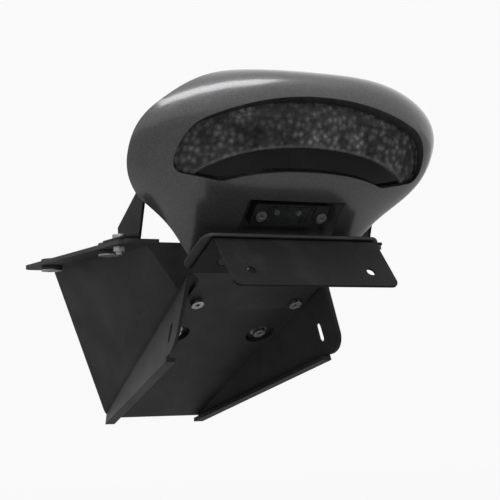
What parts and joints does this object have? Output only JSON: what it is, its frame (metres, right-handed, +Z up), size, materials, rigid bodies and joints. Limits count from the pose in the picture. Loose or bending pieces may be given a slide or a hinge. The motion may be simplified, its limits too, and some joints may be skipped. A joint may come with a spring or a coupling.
{
  "type": "motorcycle undertail",
  "caption": "Motorcycle undertail: painted tail cowl with smoked tail light and plate lamp, folded plate bracket, and a black sloping undertray with rubber-bushed subframe flanges.",
  "frame": {"origin": "centre of the four subframe bolts, level with the tops of their collars", "axes": "+X is the rider's right, +Y is forward, +Z is up and along the subframe bolts"},
  "size_m": [0.2438, 0.2643, 0.2333],
  "materials": {
    "cowl_paint": "dark grey gloss paint on moulded plastic",
    "smoked_lens": "smoked polished plastic",
    "black_plastic": "fine moulded grain",
    "black_metal": "satin black powder coat",
    "black_rubber": "matt black rubber",
    "zinc_steel": "bright zinc plate",
    "bright_reflector": "vacuum-plated plastic",
    "circuit_board": "solder-masked board",
    "lamp_resin": "moulded lamp resin",
    "clear_lens": "clear ribbed plastic"
  },
  "bodies": {
    "root": {"tail_cowl": "cowl_paint", "tail_light_lens": "smoked_lens", "undertray": "black_plastic", "rear_panel": "black_plastic", "light_housing": "black_plastic", "plate_lamp_housing": "black_plastic", "panel_rivets": "black_plastic", "plate_bracket": "black_metal", "left_side_bracket": "black_metal", "right_side_bracket": "black_metal", "lens_gasket": "black_rubber", "cable_grommet": "black_rubber", "mount_grommets": "black_rubber", "seam_screws": "zinc_steel", "seam_nuts": "zinc_steel", "dimple_bolts": "zinc_steel", "dimple_washers": "zinc_steel", "dimple_nuts": "zinc_steel", "bracket_bolts": "zinc_steel", "bracket_washers": "zinc_steel", "bracket_nuts": "zinc_steel", "light_screws": "zinc_steel", "plate_lamp_screws": "zinc_steel", "cowl_screws": "zinc_steel", "side_bolts": "zinc_steel", "side_nuts": "zinc_steel", "mount_collars": "zinc_steel", "inner_strap": "zinc_steel", "light_reflector": "bright_reflector", "led_board": "circuit_board", "plate_lamp_board": "circuit_board", "tail_leds": "lamp_resin", "plate_lamp_leds": "lamp_resin", "plate_lamp_lens": "clear_lens"}
  },
  "joints": []
}
